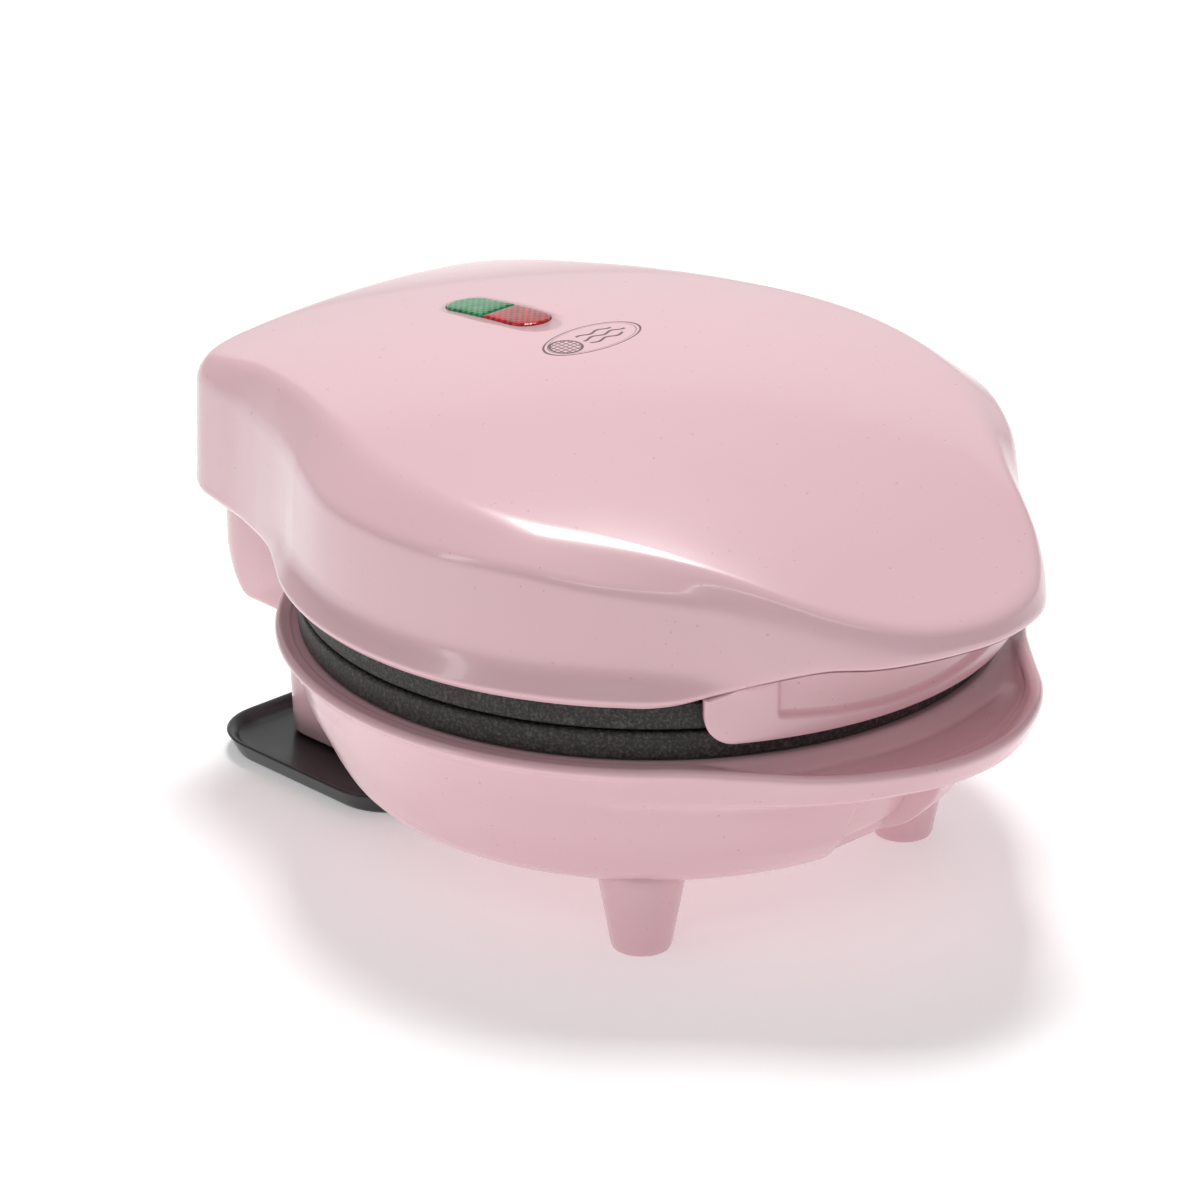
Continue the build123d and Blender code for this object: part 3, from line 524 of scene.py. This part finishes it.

# painted shade: a dark brown ring, sunk just below the crown round the lens, stands for the shadow in the gap
well = Finish("window_painted_shade", Roughness=0.6)
well_point, *_ = well.place()
well.give(Base_Color=well.blend(well.noise(well_point, 400.0), colour(70, 30, 34), colour(96, 48, 52)))
shade_ring_rows = []
for long, wide, rise in ((28.1, 10.1, -2.0), (28.1, 10.1, -0.12), (28.7, 10.7, -0.12), (28.7, 10.7, -2.0)):
    reach = stadium(TURNS[::4], long, wide)
    x, y = reach * np.sin(TURNS[::4]), WINDOW_Y - reach * np.cos(TURNS[::4])
    shade_ring_rows.append(np.column_stack((x, y, crown(x, y) + rise)))
skin("lens_painted_shade_ring", np.array(shade_ring_rows), well, "lid", loop=True)

# ------------------------------------------------------------------ waffle plates
# Two cast aluminium plates with a black non-stick coat that has a fine grain. The
# baking well is full of square studs with rounded tops; a channel runs round it.
PARTING, PLATE_BACK, WELL_Z = 57.75, 45.5, 49.5
PLATE_PROFILE = ((3, PLATE_BACK), (66, PLATE_BACK), (66, 51.35), (74.8, 51.35), (74.8, 57.5),
                 (70.3, 57.5), (69.6, 55.9), (67.4, 55.9), (66.7, 57.5), (64, 57.5), (61, WELL_Z),
                 (3, WELL_Z))
PLATE_ROUND = (0.5, 0.8, 1.1, 1.0, 0.5, 0.7, 0.7, 0.5, 1.2, 2.2)
STUD_PITCH, STUD_REACH, STUD_SQUARENESS = 13.5, 53.0, 7
STUD_SECTION = ((4.9, -0.2), (4.55, 0.3), (4.25, 1.2), (3.45, 3.9), (3.15, 4.6), (2.7, 4.95), (1.6, 5.0))


def nonstick(name):
    """Black baked coating: a fine grain of grey specks, matt, with worn brighter grains."""
    made = Finish(name, Specular_IOR_Level=0.45)
    point, *_ = made.place()
    grain = made.noise(point, 1500.0, 3.0, 0.7)
    coarse = made.noise(point, 500.0, 2.0)
    tone = made.blend(grain.ramp(0.42, 0.72), colour(30, 29, 29), colour(86, 84, 80))
    made.give(Base_Color=made.blend(coarse.ramp(0.60, 0.80) * 0.5, tone, colour(104, 98, 88)))
    made.give(Roughness=0.42 + 0.25 * grain, Normal=made.bump(grain, 0.5, 0.0003))
    return made


def turned_over(points):
    """The upper plate is the lower one turned over about the parting height."""
    return np.concatenate((points[..., :2], 2 * PARTING - points[..., 2:]), axis=-1)


plate_finish = nonstick("nonstick_coat")
plate_rows = rounded([polar(r, z) for r, z in PLATE_PROFILE], PLATE_ROUND, steps=5)
plate_poles = np.array([(0, 0, PLATE_BACK), (0, 0, WELL_Z)])
spins = np.radians(np.arange(0, 360, 15) + 7.5)
squircle = np.abs(np.cos(spins)) ** STUD_SQUARENESS + np.abs(np.sin(spins)) ** STUD_SQUARENESS
squircle = squircle ** (-1 / STUD_SQUARENESS)
stud = np.array([np.column_stack((half * squircle * np.cos(spins), half * squircle * np.sin(spins),
                                  np.full_like(spins, WELL_Z + rise))) for half, rise in STUD_SECTION])
grid = np.arange(stud[..., 0].size).reshape(stud.shape[:2])
wrap = np.hstack((grid, grid[:, :1]))
stud_quads = np.stack((wrap[:-1, :-1], wrap[:-1, 1:], wrap[1:, 1:], wrap[1:, :-1]), axis=-1).reshape(-1, 4)
stud_faces = stud_quads.tolist() + [grid[-1].tolist(), grid[0][::-1].tolist()]
places = [(STUD_PITCH * i, STUD_PITCH * j, 0) for i in range(-4, 5) for j in range(-4, 5)
          if np.hypot(i, j) * STUD_PITCH < STUD_REACH]
stud_points = np.concatenate([stud.reshape(-1, 3) + place for place in places])
all_faces = [[corner + number * grid.size for corner in face]
             for number in range(len(places)) for face in stud_faces]
for name, body, turn in (("lower", "base", np.array), ("upper", "lid", turned_over)):
    back, face = turn(plate_poles)
    plate = skin(f"{name}_waffle_plate", turn(plate_rows), plate_finish, body,
                 first=back, last=face)
    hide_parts(f"{name}_plate", f"{name}_plate_rim")
    add_piece(f"{name}_plate_studs", turn(stud_points), all_faces, plate_finish, body)

# ------------------------------------------------------------------ base: bowl, tray
# The lower shell: a bowl on two feet and a column, with a rolled rim. In front the
# rim widens into a drip tray under the tongue. A recess below it takes finger tips.
TRAY = ((0, -96.8), (10, -95.6), (19.5, -92), (28, -87), (34.5, -81.5), (40, -75), (45.5, -68.3),
        (51.5, -61.4), (57.3, -55.9), (65.5, -45.9), (75.2, -27.4), (80, 0), (75.2, 27.4), (56.6, 56.6),
        (27.4, 75.2), (0, 80))
BOWL = ((56, 16.0), (59.6, 17.3), (62.6, 18.6), (65, 20.6), (67.6, 24.4), (69.9, 29), (73.3, 36), (75.7, 43),
        (77.6, 48))
FLOOR_Z, FLOOR_TOP = 16.0, 18.5
BAND_TOP, BAND_R = 48.0, 77.7                 # top of the bowl's band, its radius beside the tray
RECESS_TURN = np.radians(10.2)
from_front = np.degrees(np.minimum(TURNS, 2 * np.pi - TURNS))
tray_share = eased((58 - from_front) / 26)
rim = np.hypot(*around(TRAY)[:, :2].T)
band_low = np.interp(from_front, (0, 12, 26, 40, 50, 60), (45.2, 45, 44, 43, 42.2, 42))
BOWL_INSIDE = ((75.4, 51.1), (72.5, 51.1), (72.4, 43), (70.7, 37), (67.2, 29.6), (62.8, 21.4),
               (56, FLOOR_TOP), (3, FLOOR_TOP))
bowl_heights = np.array([z for _, z in BOWL])
bowl_radii = np.array([r for r, _ in BOWL])
swell_turn = eased((44 - from_front) / 30)


def bowl_ring(height):
    """Ring of the bowl's outer skin at a height. It swells a little round the recess, which
    is pushed in as far as its sloping back wall."""
    radius = smooth_through(bowl_heights, bowl_radii, height)
    radius = radius + 3.0 * swell_turn * np.clip((height - 17.5) / 9, 0, 1)
    back_wall = (68.4 - (38 - height) * 0.48) / np.cos(TURNS)
    pushed = np.minimum(radius, back_wall)
    inside = np.clip((RECESS_TURN + 0.006 - np.abs(np.arcsin(np.sin(TURNS)))) / 0.012, 0, 1)
    return polar(radius + (pushed - radius) * inside * (np.cos(TURNS) > 0), height)


rim_end = band_low - 0.6 - 3.4 * tray_share
bowl_rows = [bowl_ring(FLOOR_Z + (rim_end - FLOOR_Z) * share) for share in np.linspace(0, 1, 26) ** 1.25]
trough = eased((rim - 80) / 7)
plain = smooth_through(bowl_heights, bowl_radii, band_low)
lower_band = polar(plain + (rim - 1.7 - plain) * tray_share, band_low)
upper_band = polar(BAND_R + (rim - 0.6 - BAND_R) * tray_share, BAND_TOP)
tray_path = rounded([bowl_rows[-1], lower_band, upper_band, polar(rim, 49.9), polar(rim - 1.1, 51.3),
                     polar(rim - 2.6 - 1.6 * trough, 51.2 - 0.9 * trough),
                     polar(76.9 + ((rim + 80) / 2 - 76.9) * trough, 51.2 - 3.4 * trough),
                     polar(76.5 + 1.9 * trough, 51.2 - 3.6 * trough), polar(76.1, 51.1 - 0.5 * trough),
                     *(polar(r, z) for r, z in BOWL_INSIDE)],
                    (1.3, 1.3, 0.9, 0.8, 1.2, 5, 1.4, 0.5, 0.4, 0.4, 2, 3, 3, 3, 3), steps=5)
base_rows = np.concatenate(([polar(r, FLOOR_Z) for r in (4, 20, 38, 50)], bowl_rows[:-1], tray_path))
base_pink = pink("pink_gloss_base")
base_shell = skin("base_bowl", base_rows, base_pink, "base",
                  first=(0, 0, FLOOR_Z), last=(0, 0, FLOOR_TOP))
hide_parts("base_housing")

# two cone feet with a pocket for their rubber pads
FOOT_PLACE = (39.2, -37.9)
FOOT_SECTION = ((4.3, 1.7), (4.3, 0.25), (5.5, 0.05), (6.15, 0.2), (6.45, 0.9), (7.9, 9.0), (9.2, 16.4),
                (10.0, 21.0))
spins = np.radians(np.arange(0, 360, 4))
for side, name in ((-1, "left"), (1, "right")):
    centre = np.array((side * FOOT_PLACE[0], FOOT_PLACE[1], 0))
    foot_rows = np.array([polar(r, z, spins) + centre for r, z in FOOT_SECTION])
    skin(f"front_foot_{name}", foot_rows, base_pink, "base",
         first=centre + (0, 0, FOOT_SECTION[0][1]), last=centre + (0, 0, FOOT_SECTION[-1][1]))

# ------------------------------------------------------------- column, hinge block
# The hollow column carries the rear of the base. Above it the hinge block ends in two
# posts that hold the pivots; between them lies a valley for the plates' rear edge.


def slab_ring(half, front, rear, radius, height):
    """Rectangle with round corners at one height: four quarter circles and the lines
    between them."""
    quarter = np.linspace(0, 90, 12)
    corners = ((half - radius, rear - radius, 0), (radius - half, rear - radius, 90),
               (radius - half, front + radius, 180), (half - radius, front + radius, 270))
    flat = np.concatenate([np.column_stack((cx + radius * np.cos(np.radians(start + quarter)),
                                            cy + radius * np.sin(np.radians(start + quarter))))
                           for cx, cy, start in corners])
    return np.column_stack((flat, np.full(len(flat), height)))


COLUMN = ((2.7, 25.4, 50.6, 90.4), (3.4, 26.0, 50, 91), (9, 26.4, 50, 91), (16, 26.8, 50, 91),
          (20, 27.0, 54, 91), (28, 27.6, 60, 91), (44, 28.6, 68, 91), (46, 28.7, 68, 91))
COLUMN_CORNER = 7
column_rows = np.array([slab_ring(half, front, rear, COLUMN_CORNER, z) for z, half, front, rear in COLUMN])
column = skin("rear_column", column_rows, base_pink, "base",
              first=(0, 70, COLUMN[0][0]), last=(0, 78, COLUMN[-1][0]))
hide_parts("base_column")

BLOCK_HALF, BLOCK_REAR, BLOCK_TOP, BLOCK_LOW, POST_FRONT = 42.4, 94.8, 63.5, 41.2, 75.8
CHEEK_IN, CHEEK_FRONT, CHEEK_TOP, LEDGE_Z = 39.4, 66.0, 60.0, 50.9
SLOT_IN, SLOT_OUT, BLOCK_FRONT = 27.4, 34.0, 62.0
EDGE_R, CORNER_R = 1.6, 10.0                  # round of the top edges, and of the rear corners
stops = []                                    # width, height of the top
for low, high, top in ((0, SLOT_IN, 53.0), (SLOT_IN, SLOT_OUT, 46.0), (SLOT_OUT, BLOCK_HALF, BLOCK_TOP)):
    stops += [(low + 0.02, top - 0.6), (low + 0.25, top - 0.15), (low + 0.7, top)] if low else [(0, top)]
    if high < BLOCK_HALF:
        stops += [(high - 0.7, top), (high - 0.25, top - 0.15), (high - 0.02, top - 0.6)]
stops += [(x, BLOCK_TOP) for x in (35.0, 36.0, 37.4, 38.6, CHEEK_IN - 0.02, CHEEK_IN + 0.02, 40.1, 40.8,
                                   41.3, 41.8, 42.1, 42.3, BLOCK_HALF)]
right = np.array(stops)
stations = np.concatenate((right[::-1] * (-1, 1), right[1:]))
width, top = stations.T


def quarter_cut(radius):
    """How far a quarter circle at the block's ends falls back at each width."""
    return radius - np.sqrt(radius ** 2 - np.clip(np.abs(width) - BLOCK_HALF + radius, 0, radius) ** 2)


end_cut = quarter_cut(EDGE_R)
rear = BLOCK_REAR - quarter_cut(CORNER_R)
roof = top - end_cut
side_view = [(np.full_like(width, BLOCK_FRONT), BLOCK_LOW + end_cut)]
belly = HINGE_Z - BLOCK_LOW - end_cut
for turn in np.radians(np.linspace(-90, 0, 10)):
    belly_z = np.minimum(HINGE_Z + belly * np.sin(turn), roof - EDGE_R)
    belly_y = HINGE_Y + (rear - HINGE_Y) * np.sqrt(1 - np.clip((HINGE_Z - belly_z) / belly, 0, 1) ** 2)
    side_view.append((belly_y, belly_z))
for centre_y, start in ((belly_y - EDGE_R, 0), (POST_FRONT + end_cut + EDGE_R, 90)):
    for turn in np.radians(start + np.array((0, 30, 60, 90))):
        side_view.append((centre_y + EDGE_R * np.cos(turn), roof - EDGE_R + EDGE_R * np.sin(turn)))
cheek = np.abs(width) > CHEEK_IN
step = np.where(cheek, CHEEK_TOP - end_cut, np.minimum(LEDGE_Z, roof - 1.7))
front = np.where(cheek, CHEEK_FRONT, POST_FRONT) + end_cut
side_view += [(POST_FRONT + end_cut, step), (front, step), (front, np.minimum(LEDGE_Z, step)),
              (np.full_like(width, BLOCK_FRONT), LEDGE_Z - end_cut)]
block_rows = np.array([np.column_stack((width, y, z)) for y, z in side_view])
skin("hinge_block", block_rows, base_pink, "base", ring=False, loop=True, caps=True)

# --------------------------------------------------------------------- black foot
# A shallow black tray, screwed under the column, that steadies the rear and holds the
# wound lead. Gloss plastic with a thin upturned rim.
black = Finish("black_gloss", Coat_Weight=0.25, Coat_Roughness=0.08)
black_point, *_ = black.place()
black.give(Base_Color=black.blend(black.noise(black_point, 30.0, 3.0),
                                  colour(24, 23, 26), colour(32, 31, 34)),
           Roughness=0.26 + 0.14 * black.noise(black_point, 120.0, 3.0),
           Normal=black.bump(black.noise(black_point, 400.0, 2.0), 0.05, 0.0002))
TRAY_RINGS = ((38.6, 42.4, 97.6, 12.0, 0.0), (39.3, 41.7, 98.3, 12.6, 0.25), (39.7, 41.3, 98.7, 13, 0.9),
              (41.7, 40.3, 99.7, 14, 4.4), (41.9, 40.1, 99.9, 14, 4.8), (41.5, 40.5, 99.5, 13.7, 5.0),
              (40.7, 41.3, 98.7, 13, 4.8), (39.7, 42.3, 97.7, 12.4, 3.3), (38.8, 43.2, 96.8, 11.6, 2.5),
              (37.0, 45, 95, 10, 2.3), (20, 60, 80, 4, 2.3))
foot_tray = skin("rear_foot_tray", np.array([slab_ring(*ring) for ring in TRAY_RINGS]),
                 black, "base", first=(0, 70, 0), last=(0, 70, TRAY_RINGS[-1][-1]))
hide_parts("cord_wrap_foot")

# ------------------------------------------------------------- inner and small parts
# Pressed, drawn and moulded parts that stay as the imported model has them. They only
# take a finish with the marks of how they are made.


def metal(name, tint, roughness, scale):
    """Bare metal with long rolling marks and a little cloudiness."""
    made = Finish(name, Metallic=1.0)
    point, *_ = made.place()
    marks = made.noise(made.node("Mapping", inputs={0: point, "Scale": (scale, scale / 12, scale)}), 1.0, 3.0)
    cloud = made.noise(point, 90.0, 2.0)
    made.give(Base_Color=made.blend(cloud, colour(*tint), colour(*(0.82 * np.array(tint)))),
              Roughness=roughness + 0.2 * marks, Normal=made.bump(marks, 0.2, 0.0001))
    return made


def moulded(name, tint, roughness):
    """Matt plastic or rubber with a fine spark-eroded grain."""
    made = Finish(name)
    point, *_ = made.place()
    grain = made.noise(point, 1200.0, 2.0)
    made.give(Base_Color=made.blend(made.noise(point, 80.0, 2.0), colour(*tint),
                                    colour(*(0.85 * np.array(tint)))),
              Roughness=roughness + 0.15 * grain, Normal=made.bump(grain, 0.2, 0.0001))
    return made


KEPT = {
    "bright_aluminium": metal("rolled_aluminium", (205, 206, 208), 0.28, 900),
    "steel_tube": metal("heater_steel", (150, 146, 142), 0.38, 700),
    "zinc_steel": metal("zinc_plate", (190, 188, 178), 0.30, 1200),
    "fuse_metal": metal("fuse_tin", (198, 192, 180), 0.30, 1500),
    "brass_screws": metal("brass", (206, 170, 96), 0.30, 1500),
    "white_plastic": moulded("white_nylon", (232, 228, 218), 0.45),
    "grey_rubber": moulded("grey_rubber_grain", (120, 118, 116), 0.72),
    "black_rubber": moulded("black_rubber_grain", (36, 35, 36), 0.62),
    "black_plastic": black,
    "wire_sleeve": moulded("glass_sleeve", (226, 222, 208), 0.60),
    "lamp_glass": moulded("neon_glass", (226, 196, 170), 0.12),
    "pink_plastic": base_pink,
    "pink_plastic_inner": inner_pink,
    "nonstick_aluminium": plate_finish,
}
for part in frame["record"]["subparts"]:      # the lens nodes aren't here: domes replace them
    if part["material_slot"] in KEPT:
        for place in frame["nodes"][part["node"]].material_slots:
            place.material = KEPT[part["material_slot"]].material
